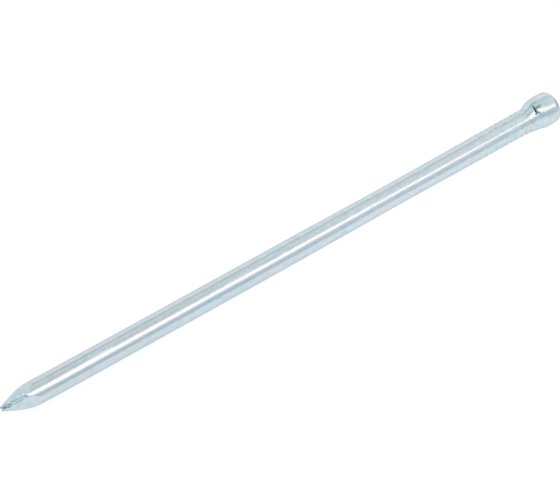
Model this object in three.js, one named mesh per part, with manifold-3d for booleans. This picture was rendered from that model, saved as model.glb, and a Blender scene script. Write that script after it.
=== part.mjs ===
// A lost-head wire nail, 3.0 x 80 mm, of bright zinc plated steel. It is one length of drawn wire, cold-formed by
// dies that close on it from two sides: they bite the grip marks, shape the neck under the upset head and pinch
// off the diamond point. Nothing is assembled, so the nail is one mesh.
//
// Millimetres, +Z up. The nail lies along X with its point towards -X, and the centre of its head's flat end
// face is the origin. The dies met in a plane through the axis that leans PARTING_TILT from upright, towards -Y.
//
// Each solid is built standing along Y, with the end face at y = 0 and the point below it. The dies come
// from -X and +X there, and meet at x = 0. The mesh's rotation then lays the nail down.

import * as THREE from "three";
import { mergeVertices } from "three/addons/utils/BufferGeometryUtils.js";
import Module from "manifold-3d";

// Driving dimensions
const LENGTH = 80;
const WIRE_R = 1.5;
const HEAD_R = 2.05;
const PARTING_TILT = THREE.MathUtils.degToRad(34);

// The head, with depths measured from its end face
const NECK_START = 4.7; // the wire starts to swell
const NECK_FLARE = 3.9; // the swelling is now a cone
const NECK_FLARE_R = 1.65;
const NECK_END = 2.5; // the cone runs into the head's barrel
const NECK_END_R = 1.97;
const BARREL_WIDEST = 1.75;
const RIM_START = 0.93; // the barrel starts to round over to the end face
const RIM_START_R = 2.02;
const FACE_R = 1.12;

// The point, with distances measured from its tip
const FACET_TIP = 0.195; // from the axis to a facet
const FACET_SLOPE = 0.295;
const EDGE_TIP = 0.345; // from the axis to an edge rounded by the root of a die
const EDGE_END = 4.45; // the rounded edge runs out on the wire
const EDGE_BEND = 3.12;
const LAND_TIP = 0.1; // from the axis to a land, the strip left where the flash was sheared off
const LAND_SLOPE = 0.427;

// The grip marks
const GRIP_COUNT = 16;
const GRIP_PITCH = 0.77;
const GRIP_FIRST = 5.1; // from the end face to the nearest mark
const GRIP_DEPTH = 0.055;
const GRIP_WIDTH = 0.5;
const GRIP_CLEARANCE = 0.045; // the dies' ridges stay this far off the wire where the dies meet

const ROUND_STEPS = 48;
const CURVE_STEPS = 8;
const OVERSHOOT = 1; // a cutter reaches this far past what it cuts

const wasm = await Module();
wasm.setup();

// A closed geometry as a solid that can be cut.
function solidOf(geometry) {
  geometry.deleteAttribute("normal");
  geometry.deleteAttribute("uv");
  const merged = mergeVertices(geometry, 1e-5);
  return new wasm.Manifold(
    new wasm.Mesh({
      numProp: 3,
      vertProperties: new Float32Array(merged.attributes.position.array),
      triVerts: new Uint32Array(merged.index.array),
    }),
  );
}

// A solid as a geometry, with its facets' normals.
function geometryOf(solid) {
  const { vertProperties, triVerts } = solid.getMesh();
  const geometry = new THREE.BufferGeometry();
  geometry.setAttribute("position", new THREE.BufferAttribute(new Float32Array(vertProperties), 3));
  geometry.setIndex(new THREE.BufferAttribute(new Uint32Array(triVerts), 1));
  geometry.computeVertexNormals();
  return geometry;
}

// The wire and its upset head, turned about the axis. The wire still runs past the tip.
function headedWire() {
  const end = -LENGTH - OVERSHOOT;
  const outline = new THREE.Path();
  outline.moveTo(0, end);
  outline.lineTo(WIRE_R, end);
  outline.lineTo(WIRE_R, -NECK_START);
  outline.quadraticCurveTo(WIRE_R, -(NECK_START + NECK_FLARE) / 2, NECK_FLARE_R, -NECK_FLARE);
  outline.lineTo(NECK_END_R, -NECK_END);
  outline.quadraticCurveTo(HEAD_R, -(NECK_END + BARREL_WIDEST) / 2, HEAD_R, -BARREL_WIDEST);
  outline.lineTo(RIM_START_R, -RIM_START);
  outline.bezierCurveTo(
    RIM_START_R,
    -RIM_START * 0.45,
    FACE_R + (RIM_START_R - FACE_R) * 0.55,
    0,
    FACE_R,
    0,
  );
  outline.lineTo(0, 0);
  return new THREE.LatheGeometry(outline.getPoints(CURVE_STEPS), ROUND_STEPS);
}

// The ridge round the dies that bites one grip mark: a ring with a sharp inner edge, drawn out to an oval so
// that it is deepest in the middle of each die and clear of the wire where the dies meet.
function gripRidge(depthBelowFace) {
  const edge = WIRE_R - GRIP_DEPTH;
  const back = WIRE_R + OVERSHOOT;
  const halfHeight = ((GRIP_WIDTH / 2) * (back - edge)) / GRIP_DEPTH;
  const section = [
    new THREE.Vector2(back, -halfHeight),
    new THREE.Vector2(back, halfHeight),
    new THREE.Vector2(edge, 0),
    new THREE.Vector2(back, -halfHeight),
  ];
  const stretch = (WIRE_R + GRIP_CLEARANCE) / edge;
  return new THREE.LatheGeometry(section, ROUND_STEPS).scale(1, 1, stretch).translate(0, -depthBelowFace, 0);
}

// The four facets of the diamond point, as a square frustum that is wider than the nail everywhere else.
function facets() {
  const height = LENGTH + OVERSHOOT;
  const tipCorner = FACET_TIP * Math.SQRT2;
  const farCorner = (FACET_TIP + FACET_SLOPE * height) * Math.SQRT2;
  return new THREE.CylinderGeometry(farCorner, tipCorner, height, 4).translate(0, height / 2 - LENGTH, 0);
}

// A slab right through the nail whose two edges follow one half outline and its mirror image about the axis.
function slab(half) {
  const right = half.getPoints(CURVE_STEPS);
  const left = right.map((p) => new THREE.Vector2(-p.x, p.y)).reverse();
  const thickness = 2 * (HEAD_R + OVERSHOOT);
  return new THREE.ExtrudeGeometry(new THREE.Shape([...right, ...left]), {
    depth: thickness,
    bevelEnabled: false,
  }).translate(0, 0, -thickness / 2);
}

// What the rounded roots of the dies leave of the point's two side edges.
function roundedEdges() {
  const half = new THREE.Path();
  half.moveTo(EDGE_TIP, -LENGTH - OVERSHOOT);
  half.lineTo(EDGE_TIP, -LENGTH);
  half.quadraticCurveTo(WIRE_R, EDGE_BEND - LENGTH, WIRE_R, EDGE_END - LENGTH);
  half.lineTo(HEAD_R + OVERSHOOT, EDGE_END - LENGTH + OVERSHOOT);
  half.lineTo(HEAD_R + OVERSHOOT, OVERSHOOT);
  return slab(half);
}

// What shearing off the flash leaves of the two edges where the dies met.
function flashLands() {
  const height = LENGTH + OVERSHOOT;
  const half = new THREE.Path();
  half.moveTo(LAND_TIP, -LENGTH - OVERSHOOT);
  half.lineTo(LAND_TIP, -LENGTH);
  half.lineTo(LAND_TIP + LAND_SLOPE * height, OVERSHOOT);
  return slab(half).rotateY(Math.PI / 2);
}

function nailGeometry() {
  let nail = solidOf(headedWire());
  for (const trim of [facets(), roundedEdges(), flashLands()]) {
    nail = nail.intersect(solidOf(trim));
  }
  for (let i = 0; i < GRIP_COUNT; i++) {
    nail = nail.subtract(solidOf(gripRidge(GRIP_FIRST + i * GRIP_PITCH)));
  }
  return geometryOf(nail);
}

const zincPlatedSteel = new THREE.MeshStandardMaterial({ color: 0xbfd0d8, roughness: 0.28, metalness: 1 });

const nail = new THREE.Mesh(nailGeometry(), zincPlatedSteel);
nail.name = "nail";
nail.rotation.set(PARTING_TILT, 0, -Math.PI / 2);

const part = new THREE.Group();
part.add(nail);

export default part;
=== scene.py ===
"""The looks of a lost-head wire nail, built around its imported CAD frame.

The nail is one piece of cold-formed wire, so it is one fine mesh: rings of points from its tip to the middle of
its end face. How far a point is from the axis is worked out from what the dies did there. Lengths in the shape
functions are in millimetres. Angles go round the axis from the line, facing up and to the front, along which the
two dies met: the upper die pressed at +90 degrees and the lower one at -90 degrees.
"""

import math

import bpy
import numpy as np
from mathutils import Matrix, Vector


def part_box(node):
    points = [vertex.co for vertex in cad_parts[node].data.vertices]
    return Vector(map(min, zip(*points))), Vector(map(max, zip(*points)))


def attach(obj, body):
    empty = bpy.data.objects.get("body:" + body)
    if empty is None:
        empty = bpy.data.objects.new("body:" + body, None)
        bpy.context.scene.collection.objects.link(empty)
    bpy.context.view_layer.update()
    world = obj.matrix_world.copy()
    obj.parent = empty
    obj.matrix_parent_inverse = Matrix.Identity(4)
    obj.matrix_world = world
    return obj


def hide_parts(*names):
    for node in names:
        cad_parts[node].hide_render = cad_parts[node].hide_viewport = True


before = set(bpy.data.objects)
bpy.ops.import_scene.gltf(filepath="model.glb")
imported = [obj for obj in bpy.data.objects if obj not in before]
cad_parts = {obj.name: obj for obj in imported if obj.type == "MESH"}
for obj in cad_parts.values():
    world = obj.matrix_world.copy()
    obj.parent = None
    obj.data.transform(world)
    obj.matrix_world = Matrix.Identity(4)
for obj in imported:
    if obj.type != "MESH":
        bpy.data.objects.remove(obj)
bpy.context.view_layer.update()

MM = 0.001

# Sizes of the frame, in millimetres
low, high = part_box("nail")
LENGTH = (high.x - low.x) / MM
HEAD_R = (high.z - low.z) / 2 / MM
WIRE_TO_HEAD = 0.732
WIRE_R = HEAD_R * WIRE_TO_HEAD
PARTING_TILT = math.radians(34)
TOWARDS_PARTING = Vector((0, -math.sin(PARTING_TILT), math.cos(PARTING_TILT)))
TOWARDS_UPPER_DIE = Vector((0, math.cos(PARTING_TILT), math.sin(PARTING_TILT)))

# The point, with distances from its tip: how far its faces are from the axis at the tip, and how fast that grows
FACET_TIP = 0.195
FACET_SLOPE = 0.295
EDGE_TIP = 0.4
EDGE_BEND = 2.95
EDGE_END = 4.45
EDGE_STEPS = 60
LAND_TIP = 0.1
LAND_SLOPE = 0.427
EDGE_ROUNDING = 0.12
LAND_ROUNDING = 0.02
SHOULDER_ROUNDING = 0.03
POINT_END = 4.9
POINT_TWIST = math.radians(4)

# How the nail is bent: its tip is lifted, and its middle hangs below its ends
TIP_LIFT = 0.2
TIP_LIFT_END = 9.0
TIP_LIFT_POWER = 2.3
BOW = 0.076

# The grip marks, with depths below the end face
GRIP_PITCH = 0.77
GRIP_FIRST = 5.1
GRIP_FADE = 11.5
GRIP_LAST = 17.0
GRIP_DEPTH = 0.07

# Where the gripped wire was pulled thinner, with its depth below the end face
WAIST = 0.07
WAIST_DEPTH = 25.0
WAIST_SPREAD = 10.0

# The head, with depths below the end face
NECK_START = 5.2
RIM_START = 0.93
FACE_R = 0.9
RIM_POWER = 1.03

# The neck and the head's barrel, as (depth, radius): towards either die, and on the line where the dies met
NECK_UPPER = [
    (0.9, 2.08), (1.7, 2.12), (2.5, 2.09), (3.05, 1.99),
    (3.6, 1.81), (3.95, 1.6), (4.3, 1.515), (NECK_START, 1.5),
]
NECK_LOWER = [
    (0.9, 1.93), (1.7, 1.97), (2.3, 1.94), (2.8, 1.85),
    (3.4, 1.73), (3.9, 1.67), (4.5, 1.56), (NECK_START, 1.5),
]
NECK_PARTING = [
    (0.9, 2.04), (1.5, 2.02), (2.1, 1.98), (2.7, 1.92),
    (3.3, 1.82), (3.9, 1.64), (4.4, 1.53), (NECK_START, 1.5),
]
# How much wider the neck is above its parting lines than below them, as (depth, length)
NECK_SKEW = [
    (0.9, -0.06), (1.5, -0.02), (2.2, 0.07), (3.0, 0.21),
    (3.8, 0.2), (4.4, 0.05), (NECK_START, 0),
]

# The mesh: how many points a ring has, and how far apart the rings are
COLUMNS = 200
COLUMN_CROWDING = 0.25
TIP_RINGS = 12
POINT_STEP = 0.04
SHANK_STEP = 1.5
GRIP_STEP = 0.07
NECK_STEP = 0.035
RIM_RINGS = 20
FACE_RINGS = (0.8, 0.55, 0.3, 0.1)

# The point attribute for how dark the plating is painted, from 0 to 1, as real stains and as painted shade in
# cuts, creases and grooves, and below 0 for a painted highlight
STAIN_AND_PAINTED_LIGHT = "stain_and_painted_light"


def smoothstep(low_edge, high_edge, x):
    t = np.clip((x - low_edge) / (high_edge - low_edge), 0, 1)
    return t * t * (3 - 2 * t)


def smooth_min(a, b, radius):
    """The smaller of a and b, with the corner between them rounded."""
    t = np.clip(0.5 + 0.5 * (b - a) / radius, 0, 1)
    return b + (a - b) * t - radius * t * (1 - t)


def bell(x, middle, width):
    return np.exp(-(((x - middle) / width) ** 2))


def scar(along, across, start, end, width):
    """1 on the line from start to end, and fading to 0 over width on either side of it and past its ends."""
    dx, dy = end[0] - start[0], end[1] - start[1]
    share = np.clip(((along - start[0]) * dx + (across - start[1]) * dy) / (dx * dx + dy * dy), 0, 1)
    gap = np.hypot(along - start[0] - share * dx, across - start[1] - share * dy)
    return np.exp(-((gap / width) ** 2))


def curve_through(knots, x):
    """A smooth curve through a few (x, y) knots."""
    xs, ys = (np.array(v, float) for v in zip(*knots))
    slopes = np.gradient(ys, xs)
    i = np.clip(np.searchsorted(xs, x) - 1, 0, len(xs) - 2)
    span = xs[i + 1] - xs[i]
    t = np.clip((x - xs[i]) / span, 0, 1)
    return (
        (2 * t**3 - 3 * t**2 + 1) * ys[i]
        + (t**3 - 2 * t**2 + t) * span * slopes[i]
        + (3 * t**2 - 2 * t**3) * ys[i + 1]
        + (t**3 - t**2) * span * slopes[i + 1]
    )


def side_edge(t):
    """How far a side edge of the point, bent by the root of a die, is from the axis."""
    s = np.linspace(0, 1, EDGE_STEPS)
    along = 2 * (1 - s) * s * EDGE_BEND + s**2 * EDGE_END
    out = (1 - s) ** 2 * EDGE_TIP + 2 * (1 - s) * s * WIRE_R + s**2 * WIRE_R
    return np.where(t > EDGE_END, 2 * WIRE_R, np.interp(t, along, out))


def point_radius(t, angle):
    """The diamond point: four facets, two rounded side edges and two lands where the flash was sheared off."""
    tiny = 1e-9
    across = np.abs(np.sin(angle)) + tiny
    along_parting = np.abs(np.cos(angle)) + tiny
    facet = (FACET_TIP + FACET_SLOPE * t) * math.sqrt(2) / (across + along_parting)
    edge = side_edge(t) / across
    land = (LAND_TIP + LAND_SLOPE * t) / along_parting
    radius = smooth_min(facet, edge, EDGE_ROUNDING)
    radius = smooth_min(radius, land, LAND_ROUNDING)
    return smooth_min(radius, WIRE_R, SHOULDER_ROUNDING)


def carve(along, across, cuts):
    """Scars as (height, stain); each cut is (start, end, width, depth, stain), and a stain above 0 darkens the
    scar as painted shade.

    A depth below 0 is a ridge, and a stain below 0 is a painted highlight.
    """
    height = np.zeros_like(along)
    dark = np.zeros_like(along)
    bright = np.zeros_like(along)
    for start, end, width, depth, stain_and_painted_light in cuts:
        here = scar(along, across, start, end, width)
        height -= depth * here
        dark = np.maximum(dark, stain_and_painted_light * here)
        bright = np.maximum(bright, -stain_and_painted_light * here)
    return height, dark - bright


def across_parting(radius, angle):
    """How far round the surface a point is from the nearer line where the dies met."""
    return radius * np.arctan2(np.sin(angle), np.abs(np.cos(angle)))


def cutter_ribs(t, across):
    """Faint ribs where a cutter chattered over the upper front facet, with painted highlights and painted shade
    along them, as (height, stain).
    """
    pitch = 0.27
    slant = 0.6
    rib_height = 0.015
    # The ribbed patch is lightened, and the ribs are striped light and dark: painted highlight and painted shade
    brightness = 0.12
    contrast = 0.4
    ribbed = smoothstep(1.4, 1.9, t) * (1 - smoothstep(3.0, 3.4, t))
    ribbed = ribbed * smoothstep(0.2, 0.4, across) * (1 - smoothstep(0.9, 1.3, across))
    breaks = np.sin(8 * t + 3 * across)
    ribs = np.sin(2 * math.pi * (across - slant * t) / pitch) * breaks * ribbed
    return rib_height * ribs, -brightness * ribbed - contrast * ribs


def point_marks(t, angle, radius):
    """What the cutters did to the front land and beside it, as (height, stain): the cuts, ditches, shoulder and
    torn edge are darkened as painted shade, and the burrs are given painted highlights.
    """
    front = np.cos(angle) > 0
    across = across_parting(radius, angle)
    # The last number of each cut darkens it as painted shade in the groove; below 0 it is a painted highlight
    land_sides = [
        ((1.35, 0.2), (1.6, 0.19), 0.05, 0.05, 0.35),
        ((1.75, 0.17), (2.0, 0.18), 0.05, 0.06, 0.45),
        ((2.0, 0.18), (2.45, 0.17), 0.05, 0.03, 0.15),
        ((2.45, 0.16), (2.85, 0.15), 0.05, 0.06, 0.4),
        ((1.35, -0.2), (1.8, -0.18), 0.05, 0.05, 0.35),
        ((1.8, -0.16), (2.55, -0.15), 0.05, 0.05, 0.4),
    ]
    shoulder = [
        ((2.84, 0.2), (2.86, 0.08), 0.06, 0.06, 0.45),
        ((2.86, 0.08), (3.03, -0.16), 0.07, 0.08, 0.6),
    ]
    torn_edge = [
        ((0.9, 0.2), (1.08, 0.08), 0.07, 0.08, 0.5),
        ((1.08, 0.08), (1.15, -0.08), 0.07, 0.08, 0.55),
        ((1.17, -0.08), (1.08, -0.2), 0.07, 0.06, 0.6),
        ((1.0, -0.26), (0.86, -0.22), 0.05, 0.04, 0.4),
        ((0.84, -0.2), (0.72, -0.19), 0.07, 0.06, 0.9),
        ((0.05, 0.22), (0.3, 0.22), 0.07, 0.0, 0.5),
        ((0.3, 0.16), (0.85, 0.2), 0.05, 0.03, 0.2),
        ((0.34, -0.02), (0.48, -0.07), 0.1, 0.08, 0.75),
    ]
    # Ridges brightened as painted highlights
    burrs = [
        ((1.02, 0.28), (1.1, 0.28), 0.08, -0.04, -1.2),
        ((1.38, -0.04), (1.48, -0.04), 0.08, -0.03, -0.6),
        ((2.22, 0.3), (2.42, 0.3), 0.07, -0.04, -0.5),
        ((2.8, 0.28), (2.88, 0.27), 0.08, -0.05, -1.2),
        ((1.6, 0.0), (2.75, 0.0), 0.08, -0.02, -0.3),
        ((3.1, 0.13), (3.1, 0.02), 0.07, -0.04, -0.6),
        ((0.95, -0.75), (1.1, -0.75), 0.07, -0.02, -0.3),
        ((1.35, -0.9), (1.45, -0.95), 0.07, -0.02, -0.3),
    ]
    height, stain_and_painted_light = carve(t, across, land_sides + shoulder + torn_edge + burrs)
    rib_height, rib_painted_light = cutter_ribs(t, across)
    stain_and_painted_light = stain_and_painted_light + rib_painted_light
    torn = (1 - smoothstep(0.95, 1.15, t)) * bell(across, 0, 0.22)
    torn_stain = 0.2
    stain_and_painted_light = stain_and_painted_light + torn_stain * torn * (stain_and_painted_light >= 0)
    return (height + rib_height) * front, stain_and_painted_light * front


def neck_radius(depth, angle):
    """The flared neck and the head's barrel: each die shaped its side, and the metal ran out between them."""
    upper = curve_through(NECK_UPPER, depth)
    lower = curve_through(NECK_LOWER, depth)
    parting = curve_through(NECK_PARTING, depth)
    skew = curve_through(NECK_SKEW, depth)
    towards_die = np.sin(angle) ** 2
    radius = parting + (np.where(np.sin(angle) > 0, upper, lower) - parting) * towards_die
    return radius + skew * np.sin(angle) * (1 - towards_die)


def die_line(depth, angle):
    """1 on the line that the lower die's end left round the neck, with a fainter, slanting one above it."""
    upper_depth = 3.16
    upper_slant = 0.2
    upper_share = 0.4
    lower_depth = 3.03
    width = 0.06
    from_parting = np.arctan2(np.sin(angle), np.abs(np.cos(angle)))
    below = from_parting < 0
    line_depth = np.where(below, lower_depth, upper_depth + upper_slant * from_parting)
    return bell(depth, line_depth, width) * np.where(below, 1, upper_share)


def neck_marks(depth, angle, radius):
    """The dies' line round the neck, and a deep crease where the metal lapped over it, as (height, stain): the
    crease, the dent and the line are darkened as painted shade, and the lips are given painted highlights.
    """
    front = np.cos(angle) > 0
    across = across_parting(radius, angle)
    # The crease is darkened to near black as painted shade
    crease = [
        ((3.36, 1.65), (3.37, 1.2), 0.07, 0.07, 0.35),
        ((3.37, 1.25), (3.39, 0.95), 0.1, 0.14, 0.7),
        ((3.39, 1.0), (3.44, 0.42), 0.1, 0.2, 1.25),
        ((3.44, 0.42), (3.42, 0.26), 0.08, 0.14, 0.8),
        ((3.5, 0.22), (3.62, 0.0), 0.09, 0.08, 0.8),
        ((3.56, 0.0), (3.26, 0.0), 0.06, 0.02, 0.35),
        ((3.36, 0.2), (3.24, 0.14), 0.07, 0.06, 0.6),
        ((3.24, 0.14), (3.21, 0.02), 0.08, 0.1, 0.75),
        ((3.21, 0.0), (3.17, -0.25), 0.06, 0.03, 0.2),
        ((3.17, -0.2), (3.06, -0.55), 0.09, 0.03, 0.2),
    ]
    # The dent is darkened as painted shade
    dent = [
        ((3.18, 0.86), (3.02, 0.82), 0.08, 0.01, 0.6),
        ((3.08, 0.74), (2.96, 0.74), 0.11, 0.03, 1.0),
        ((2.96, 0.76), (2.72, 0.78), 0.12, 0.01, 0.6),
        ((2.72, 0.79), (2.45, 0.82), 0.09, 0.01, 0.25),
    ]
    # The lips are brightened as painted highlights
    lips = [
        ((3.08, 0.46), (3.1, 0.62), 0.07, -0.04, -0.3),
        ((3.52, 1.05), (3.5, 0.6), 0.07, -0.03, -0.3),
    ]
    height, stain_and_painted_light = carve(depth, across, crease + dent + lips)
    line_cut = 0.03
    # The die line's groove is darkened as painted shade
    line_painted_shade = 0.12
    line = die_line(depth, angle)
    return height * front - line_cut * line, stain_and_painted_light * front + line_painted_shade * line


def shank_scratch_highlights(t, angle, radius):
    """Long scratches beside the front parting line, brightened as painted highlights, as a stain below 0."""
    scratches = [
        ((7.5, 0.26), (11.2, 0.27), 0.12, 0, -0.3),
        ((12.2, 0.33), (14.4, 0.35), 0.12, 0, -0.8),
        ((31.2, 0.28), (31.9, 0.3), 0.1, 0, -0.5),
        ((33.0, 0.38), (33.4, 0.4), 0.1, 0, -0.35),
    ]
    bright = carve(t, across_parting(radius, angle), scratches)[1]
    return bright * (np.cos(angle) > 0)


def grip_strength(depth, upwards):
    """How hard the dies bit: not on the neck, less past GRIP_FADE, and not past GRIP_LAST."""
    neck_end = np.where(upwards < 0, 2.9, 4.0)
    faded = 0.8
    strength = smoothstep(neck_end, neck_end + 0.8, depth)
    strength = strength * (1 - faded * smoothstep(GRIP_FADE, GRIP_FADE + 1.5, depth))
    strength = strength * (1 - smoothstep(GRIP_LAST - 0.5, GRIP_LAST, depth))
    return strength * (0.75 + 0.25 * np.sin(2.1 * depth + 3 * upwards))


def grip_marks(depth, angle):
    """Grooves bitten by the dies' ridges, and the metal raised between them, as (height, stain): the grooves are
    darkened as painted shade, and the bitten band is made a little lighter.

    They are deepest in the middle of each die and gone where the dies meet.
    """
    upper_share = 1.3
    valley_sharpness = 1.5
    raised = 0.4
    # Painted shade in the grooves
    groove_painted_shade = 0.16
    raised_brightness = 0.05
    upwards = np.sin(angle)
    lower_bite = smoothstep(0.3, 0.95, -upwards)
    upper_bite = upper_share * smoothstep(0.62, 0.98, upwards)
    bite = np.where(upwards < 0, lower_bite, upper_bite) * grip_strength(depth, upwards)
    turn = 2 * math.pi * (depth - GRIP_FIRST) / GRIP_PITCH
    groove = bite * (0.5 - 0.5 * np.cos(turn)) ** valley_sharpness
    return GRIP_DEPTH * (raised * bite - groove), groove_painted_shade * groove - raised_brightness * bite


def rim_dark_spot(t, angle):
    """A darker spot on the head's rounded rim, just below the front parting line."""
    darkness = 0.35
    depth = LENGTH - t
    from_front = np.arctan2(np.sin(angle), np.cos(angle))
    return darkness * bell(depth, 0.68, 0.13) * bell(from_front, -0.24, 0.13)


def nail_surface(t, angle):
    """The distance from the axis and the stain, at t from the tip and this angle."""
    depth = LENGTH - t
    on_point = t < POINT_END
    twisted = angle - POINT_TWIST
    pointed = point_radius(t, twisted)
    wire = WIRE_R - WAIST * bell(depth, WAIST_DEPTH, WAIST_SPREAD)
    swollen = np.where(depth < NECK_START, neck_radius(depth, angle), wire)
    height, stain_and_painted_light = point_marks(t, twisted, pointed)
    radius = np.where(on_point, pointed + height, swollen)
    stain_and_painted_light = np.where(on_point, stain_and_painted_light, shank_scratch_highlights(t, angle, swollen))
    height, dark = neck_marks(depth, angle, swollen)
    on_neck = depth < NECK_START
    radius = radius + np.where(on_neck, height, 0)
    stain_and_painted_light = stain_and_painted_light + np.where(on_neck, dark, 0)
    height, dark = grip_marks(depth, angle)
    return radius + height, stain_and_painted_light + dark


def spacing(stretches):
    """Positions along the nail: each stretch is (end, step), and starts where the one before it ends."""
    rows = [0.0]
    for end, step in stretches:
        start = rows[-1]
        count = max(1, round((end - start) / step))
        rows.extend(start + (end - start) * (i + 1) / count for i in range(count))
    return rows


def nail_rows():
    """Rings as (distance from the tip, share of the ring's full radius)."""
    rows = [(0.0, share) for share in np.linspace(0.08, 0.92, TIP_RINGS)]
    stretches = [
        (POINT_END, POINT_STEP),
        (LENGTH - GRIP_LAST, SHANK_STEP),
        (LENGTH - NECK_START, GRIP_STEP),
        (LENGTH - RIM_START, NECK_STEP),
    ]
    rows += [(t, 1.0) for t in spacing(stretches)]
    for i in range(1, RIM_RINGS + 1):
        turn = math.pi / 2 * i / RIM_RINGS
        out = FACE_R + (HEAD_R - FACE_R) * max(0, math.cos(turn)) ** RIM_POWER
        rows.append((LENGTH - RIM_START * (1 - math.sin(turn)), out / HEAD_R))
    rows += [(LENGTH, share * FACE_R / HEAD_R) for share in FACE_RINGS]
    return rows


def ring_angles():
    """Angles round the nail, closer together where the dies met."""
    even = np.arange(COLUMNS) * 2 * math.pi / COLUMNS
    return even - COLUMN_CROWDING * np.sin(2 * even)


def tip_end(t, out, up):
    """How far the tip's torn end reaches past its plane, and how far that curls up.

    It has a whisker, and a corner below a notch.
    """
    at_end = 1 - smoothstep(0.0, 0.2, t)
    whisker = 0.3 * bell(up, 0.14, 0.06) * bell(out, 0.05, 0.09)
    corner = 0.04 * bell(up, -0.22, 0.09)
    notch = -0.2 * bell(up, -0.02, 0.08)
    curl = 0.4
    return (whisker + corner + notch) * at_end, curl * whisker * at_end


def bend(t):
    """How far the nail's axis is lifted at t from the tip."""
    tip_lift = TIP_LIFT * np.clip(1 - t / TIP_LIFT_END, 0, None) ** TIP_LIFT_POWER
    return tip_lift - BOW * (1 - (2 * t / LENGTH - 1) ** 2)


def nail_points(rows, angles):
    """The points of every ring, in metres, and their stain."""
    t, share = (np.array(v)[:, None] + 0 * angles[None, :] for v in zip(*rows))
    angle = angles[None, :] + 0 * t
    radius, stain_and_painted_light = nail_surface(np.minimum(t, LENGTH - RIM_START), angle)
    radius = radius * share
    out = radius * np.cos(angle)
    up = radius * np.sin(angle)
    past_end, curl = tip_end(t, out, up)
    along = t - LENGTH - past_end
    whisker_stain = 5
    stain_and_painted_light = stain_and_painted_light + rim_dark_spot(t, angle) + whisker_stain * np.clip(past_end, 0, None)
    up = up + curl + bend(t)
    points = (
        along[..., None] * np.array((1.0, 0, 0))
        + out[..., None] * np.array(TOWARDS_PARTING)
        + up[..., None] * np.array(TOWARDS_UPPER_DIE)
    )
    return points * MM, stain_and_painted_light


def closed_mesh(name, rings, stain_and_painted_light):
    """A closed mesh from rings of points, with a middle point at each end."""
    count, columns = rings.shape[:2]
    points = np.vstack([rings.reshape(-1, 3), rings[0].mean(0), rings[-1].mean(0)])
    stains = np.append(stain_and_painted_light.ravel(), (stain_and_painted_light[0].mean(), stain_and_painted_light[-1].mean()))
    faces = []
    for first in range(0, (count - 1) * columns, columns):
        for c in range(columns):
            after = (c + 1) % columns
            faces.append((first + c, first + columns + c, first + columns + after, first + after))
    tip = count * columns
    end = tip + 1
    last = (count - 1) * columns
    faces += [(tip, c, (c + 1) % columns) for c in range(columns)]
    faces += [(end, last + (c + 1) % columns, last + c) for c in range(columns)]
    mesh = bpy.data.meshes.new(name)
    mesh.from_pydata(points.tolist(), [], faces)
    mesh.validate()
    mesh.shade_smooth()
    mesh.attributes.new(STAIN_AND_PAINTED_LIGHT, "FLOAT", "POINT").data.foreach_set("value", stains.astype(np.float32))
    return mesh


def set_or_link(tree, socket, value):
    """Gives a socket a value, or a link if the value is another node's socket."""
    if isinstance(value, bpy.types.NodeSocket):
        tree.links.new(value, socket)
    else:
        socket.default_value = value


def map_range(tree, source, from_low, from_high, to_low, to_high, interpolation="LINEAR"):
    node = tree.nodes.new("ShaderNodeMapRange")
    node.interpolation_type = interpolation
    node.inputs["From Min"].default_value = from_low
    node.inputs["From Max"].default_value = from_high
    node.inputs["To Min"].default_value = to_low
    node.inputs["To Max"].default_value = to_high
    tree.links.new(source, node.inputs["Value"])
    return node.outputs["Result"]


def mix(tree, share, a, b, blend="MIX"):
    node = tree.nodes.new("ShaderNodeMix")
    node.data_type = "RGBA"
    node.blend_type = blend
    set_or_link(tree, node.inputs["Factor"], share)
    set_or_link(tree, node.inputs["A"], a)
    set_or_link(tree, node.inputs["B"], b)
    return node.outputs["Result"]


def colour_ramp(tree, source, stops, interpolation="LINEAR"):
    """The colour at the source's value, between stops of (position, colour)."""
    node = tree.nodes.new("ShaderNodeValToRGB")
    ramp = node.color_ramp
    ramp.interpolation = interpolation
    for i, (position, colour) in enumerate(stops):
        element = ramp.elements[i] if i < len(ramp.elements) else ramp.elements.new(position)
        element.position = position
        element.color = (*colour, 1)
    tree.links.new(source, node.inputs["Fac"])
    return node.outputs["Color"]


def stretched_noise(tree, across, along, detail):
    """Noise with so many cells to a metre across the nail and along it."""
    place = tree.nodes.new("ShaderNodeTexCoord")
    mapping = tree.nodes.new("ShaderNodeMapping")
    mapping.inputs["Scale"].default_value = (along, across, across)
    texture = tree.nodes.new("ShaderNodeTexNoise")
    texture.inputs["Scale"].default_value = 1.0
    texture.inputs["Detail"].default_value = detail
    tree.links.new(place.outputs["Object"], mapping.inputs["Vector"])
    tree.links.new(mapping.outputs["Vector"], texture.inputs["Vector"])
    return texture.outputs["Fac"]


# The plating: its colours, with a painted shade for its edges and a painted highlight colour, and how high its
# lines and pits are, in metres
ZINC_DARK = (0.50, 0.615, 0.675, 1)
ZINC_LIGHT = (0.60, 0.71, 0.76, 1)
ZINC_CLOUD = (0.60, 0.66, 0.71, 1)
ZINC_LINE = (0.45, 0.54, 0.59, 1)
ZINC_PAINTED_EDGE_SHADE = (0.42, 0.445, 0.45, 1)
ZINC_PAINTED_HIGHLIGHT = (0.8, 0.96, 1, 1)
GRAZING_TINT = (0.97, 0.97, 0.97, 1)
BUMP_HEIGHT = 0.00002

# What the value from 0 to 1, for stains and painted shade, multiplies the plating's colour by, down to near
# black for the deepest painted shade
STAIN_AND_SHADE_COLOURS = [
    (0, (1, 1, 1)),
    (0.3, (0.65, 0.82, 0.87)),
    (0.6, (0.35, 0.48, 0.51)),
    (1, (0.04, 0.07, 0.08)),
]


def bump(tree, height, strength):
    node = tree.nodes.new("ShaderNodeBump")
    node.inputs["Strength"].default_value = strength
    node.inputs["Distance"].default_value = BUMP_HEIGHT
    tree.links.new(height, node.inputs["Height"])
    return node


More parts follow.
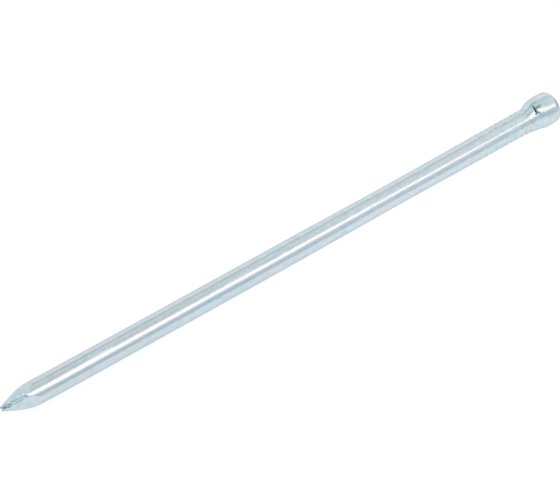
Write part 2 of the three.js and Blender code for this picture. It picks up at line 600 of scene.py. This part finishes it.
def zinc_plate():
    """Bright zinc with a bluish passivation, over the fine lengthwise lines of drawn wire, with painted shade at
    its edges and in its marks, and painted highlights.
    """
    material = bpy.data.materials.new("zinc_plate")
    material.use_nodes = True
    tree = material.node_tree
    shader = tree.nodes["Principled BSDF"]
    shader.inputs["Metallic"].default_value = 1.0
    shader.inputs["Specular Tint"].default_value = GRAZING_TINT

    streaks = stretched_noise(tree, 5000, 70, 3)
    mottle = stretched_noise(tree, 2200, 1200, 4)
    clouds = stretched_noise(tree, 450, 160, 2)
    grain = stretched_noise(tree, 7000, 4000, 1)
    attribute = tree.nodes.new("ShaderNodeAttribute")
    attribute.attribute_name = STAIN_AND_PAINTED_LIGHT
    stain_and_painted_light = attribute.outputs["Fac"]
    edge = tree.nodes.new("ShaderNodeLayerWeight")
    edge.inputs["Blend"].default_value = 0.5

    tint = mix(tree, map_range(tree, mottle, 0.35, 0.65, 0, 1), ZINC_DARK, ZINC_LIGHT)
    tint = mix(tree, map_range(tree, clouds, 0.4, 0.65, 0, 0.5), tint, ZINC_CLOUD)
    tint = mix(tree, map_range(tree, streaks, 0.4, 0.7, 0, 0.2), tint, ZINC_LINE)
    # Painted shade: the plating darkens where it turns away from the view
    tint = mix(tree, map_range(tree, edge.outputs["Facing"], 0.42, 0.9, 0, 1), tint, ZINC_PAINTED_EDGE_SHADE)
    # Real stains and painted shade darken the colour through the ramp
    tint = mix(tree, 1.0, tint, colour_ramp(tree, stain_and_painted_light, STAIN_AND_SHADE_COLOURS), "MULTIPLY")
    # Below 0 the stain paints a highlight colour into the plating
    tint = mix(tree, map_range(tree, stain_and_painted_light, 0, -1, 0, 1), tint, ZINC_PAINTED_HIGHLIGHT)
    tree.links.new(tint, shader.inputs["Base Color"])
    tree.links.new(map_range(tree, streaks, 0.3, 0.7, 0.235, 0.27), shader.inputs["Roughness"])

    lines = bump(tree, streaks, 0.25)
    pits = bump(tree, grain, 0.5)
    tree.links.new(lines.outputs["Normal"], pits.inputs["Normal"])
    tree.links.new(pits.outputs["Normal"], shader.inputs["Normal"])
    return material


def build_nail():
    points, stain_and_painted_light = nail_points(nail_rows(), ring_angles())
    mesh = closed_mesh("nail_body", points, stain_and_painted_light)
    mesh.materials.append(zinc_plate())
    nail = bpy.data.objects.new("nail_body", mesh)
    bpy.context.collection.objects.link(nail)
    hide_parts("nail")
    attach(nail, "root")
    return nail


# The view: direction from the nail to the camera, as an azimuth from -Y and an elevation, and lengths in metres
VIEW_AZIMUTH = math.radians(-35.8)
VIEW_ELEVATION = math.radians(50.2)
VIEW_DISTANCE = 4.854 * LENGTH * MM
VIEW_MIDDLE = low.x + 0.4883 * LENGTH * MM
VIEW_ABOVE_AXIS = 0.00048
VIEW_LENS = 212.5
SENSOR_WIDTH = 36
NEAREST_SEEN = 0.01
TOWARDS_CAMERA = Vector(
    (
        math.sin(VIEW_AZIMUTH) * math.cos(VIEW_ELEVATION),
        -math.cos(VIEW_AZIMUTH) * math.cos(VIEW_ELEVATION),
        math.sin(VIEW_ELEVATION),
    )
)


def add_camera():
    data = bpy.data.cameras.new("camera")
    data.lens = VIEW_LENS
    data.sensor_width = SENSOR_WIDTH
    data.clip_start = NEAREST_SEEN
    camera = bpy.data.objects.new("camera", data)
    bpy.context.collection.objects.link(camera)
    middle = Vector((VIEW_MIDDLE, 0, 0)) + TOWARDS_UPPER_DIE * VIEW_ABOVE_AXIS
    camera.location = middle + TOWARDS_CAMERA * VIEW_DISTANCE
    camera.rotation_euler = TOWARDS_CAMERA.to_track_quat("Z", "Y").to_euler()
    bpy.context.scene.camera = camera
    return camera


# The floor, in metres: a light table that glows more towards the head, and warmer past it
FLOOR_SIZE = 4
FLOOR_TOUCH_X = -0.0018
FLOOR_COLOUR = (0.25, 0.25, 0.25, 1)
FLOOR_ROUGHNESS = 0.9
GLOW_AT_TIP = 0.805
GLOW_AT_HEAD = 0.89
GLOW_COLOUR = (0.965, 0.985, 1.0, 1)
WARM_GLOW = (1.0, 0.88, 0.84, 1)
WARMER_FROM = 0.001
WARMEST_AT = 0.006


def glowing_white():
    """The table's pale sheet, lit from below."""
    material = bpy.data.materials.new("floor_white")
    material.use_nodes = True
    tree = material.node_tree
    shader = tree.nodes["Principled BSDF"]
    shader.inputs["Base Color"].default_value = FLOOR_COLOUR
    shader.inputs["Roughness"].default_value = FLOOR_ROUGHNESS
    place = tree.nodes.new("ShaderNodeTexCoord")
    split = tree.nodes.new("ShaderNodeSeparateXYZ")
    tree.links.new(place.outputs["Object"], split.inputs["Vector"])
    along = split.outputs["X"]
    strength = map_range(tree, along, -LENGTH * MM, 0, GLOW_AT_TIP, GLOW_AT_HEAD)
    colour = mix(tree, map_range(tree, along, WARMER_FROM, WARMEST_AT, 0, 1), GLOW_COLOUR, WARM_GLOW)
    tree.links.new(strength, shader.inputs["Emission Strength"])
    tree.links.new(colour, shader.inputs["Emission Color"])
    return material


def add_floor():
    """A light table that the nail lies on: it touches the head and the shank's end."""
    rise = (HEAD_R - WIRE_R) * MM
    run = (LENGTH - POINT_END) * MM
    bpy.ops.mesh.primitive_plane_add(size=FLOOR_SIZE)
    floor = bpy.context.object
    floor.name = "floor"
    floor.rotation_euler = (0, math.atan2(rise, run), 0)
    floor.location = (FLOOR_TOUCH_X, 0, -HEAD_R * MM)
    floor.data.materials.append(glowing_white())
    return floor


# The soft boxes, in metres: over the front of the nail, where the camera sees them mirrored along its middle
LIGHT_RISE = math.radians(55.5)
LIGHT_DISTANCE = 0.3245
LIGHT_COLOUR = (1.0, 0.84, 0.78)
KEY_X = -0.003
KEY_SIZE = (0.27, 0.178)
KEY_RADIANCE = 1.37
STRIP_X = 0.19
STRIP_SIZE = (0.2, 0.056)
STRIP_RADIANCE = 1.15


def add_softbox(name, shape, middle_x, size, radiance):
    """A soft light facing the nail; its size is its length along the nail and its width."""
    data = bpy.data.lights.new(name, "AREA")
    data.shape = shape
    data.size, data.size_y = size
    area = data.size * data.size_y * (math.pi / 4 if shape == "ELLIPSE" else 1)
    data.energy = radiance * math.pi * area
    data.color = LIGHT_COLOUR
    light = bpy.data.objects.new(name, data)
    bpy.context.collection.objects.link(light)
    light.location = (middle_x, -math.cos(LIGHT_RISE) * LIGHT_DISTANCE, math.sin(LIGHT_RISE) * LIGHT_DISTANCE)
    light.rotation_euler = (math.pi / 2 - LIGHT_RISE, 0, 0)
    return light


# The tent's colours where its angle, in degrees, rises from the front horizon over the top to the back one:
# as the slopes of the point and the neck mirror it, as the shank does near the point, and as it does at the head
TENT = [
    (0, (0.92, 0.93, 0.96), (0.73, 0.76, 0.81), (0.92, 0.93, 0.92)),
    (12, (0.78, 0.80, 0.84), (0.53, 0.57, 0.63), (0.84, 0.84, 0.86)),
    (30, (0.84, 0.83, 0.86), (0.61, 0.60, 0.65), (0.95, 0.92, 0.93)),
    (60, (0.96, 0.95, 0.93), (0.71, 0.69, 0.67), (0.94, 0.91, 0.89)),
    (90, (0.68, 0.68, 0.66), (0.59, 0.59, 0.57), (1.24, 1.20, 1.17)),
    (112, (1.04, 1.07, 1.06), (1.00, 1.03, 1.02), (1.0, 1.0, 0.99)),
    (124, (0.78, 0.82, 0.82), (0.74, 0.78, 0.78), (0.78, 0.80, 0.80)),
    (135, (0.60, 0.64, 0.65), (0.56, 0.60, 0.61), (0.90, 0.92, 0.91)),
    (150, (0.99, 0.99, 0.98), (0.94, 0.94, 0.94), (1.22, 1.22, 1.19)),
    (163, (1.22, 1.19, 1.17), (1.17, 1.14, 1.12), (1.24, 1.20, 1.18)),
    (180, (0.98, 0.95, 0.93), (0.96, 0.93, 0.91), (1.04, 0.99, 0.97)),
]
# The X of the directions over which each set of colours turns into the next, and the tent ends
SLOPES_TO_POINT = (0.12, 0.28)
POINT_TO_HEAD = (0.28, 0.46)
OPEN_END = (0.92, 1.0)
OPEN_END_STRENGTH = 0.1


def add_surroundings():
    """A light tent with soft bands along the nail, darker at the open end past the head."""
    world = bpy.data.worlds.new("tent")
    bpy.context.scene.world = world
    world.use_nodes = True
    tree = world.node_tree

    def calculate(operation, a, b):
        node = tree.nodes.new("ShaderNodeMath")
        node.operation = operation
        set_or_link(tree, node.inputs[0], a)
        set_or_link(tree, node.inputs[1], b)
        return node.outputs[0]

    def bands(rise, column):
        return colour_ramp(tree, rise, [(stop[0] / 180, stop[column]) for stop in TENT], "EASE")

    place = tree.nodes.new("ShaderNodeTexCoord")
    split = tree.nodes.new("ShaderNodeSeparateXYZ")
    tree.links.new(place.outputs["Generated"], split.inputs["Vector"])
    along = split.outputs["X"]
    forwards = calculate("MULTIPLY", split.outputs["Y"], -1.0)
    rise = calculate("DIVIDE", calculate("ARCTAN2", split.outputs["Z"], forwards), math.pi)
    colour = bands(rise, 1)
    for column, change in ((2, SLOPES_TO_POINT), (3, POINT_TO_HEAD)):
        share = map_range(tree, along, *change, 0, 1, "SMOOTHSTEP")
        colour = mix(tree, share, colour, bands(rise, column))
    strength = map_range(tree, along, *OPEN_END, 1.0, OPEN_END_STRENGTH, "SMOOTHSTEP")
    background = tree.nodes["Background"]
    tree.links.new(colour, background.inputs["Color"])
    tree.links.new(strength, background.inputs["Strength"])


bpy.context.scene.view_settings.view_transform = "Standard"
add_camera()
add_floor()
add_softbox("key", "ELLIPSE", KEY_X, KEY_SIZE, KEY_RADIANCE)
add_softbox("strip", "RECTANGLE", STRIP_X, STRIP_SIZE, STRIP_RADIANCE)
add_surroundings()
build_nail()
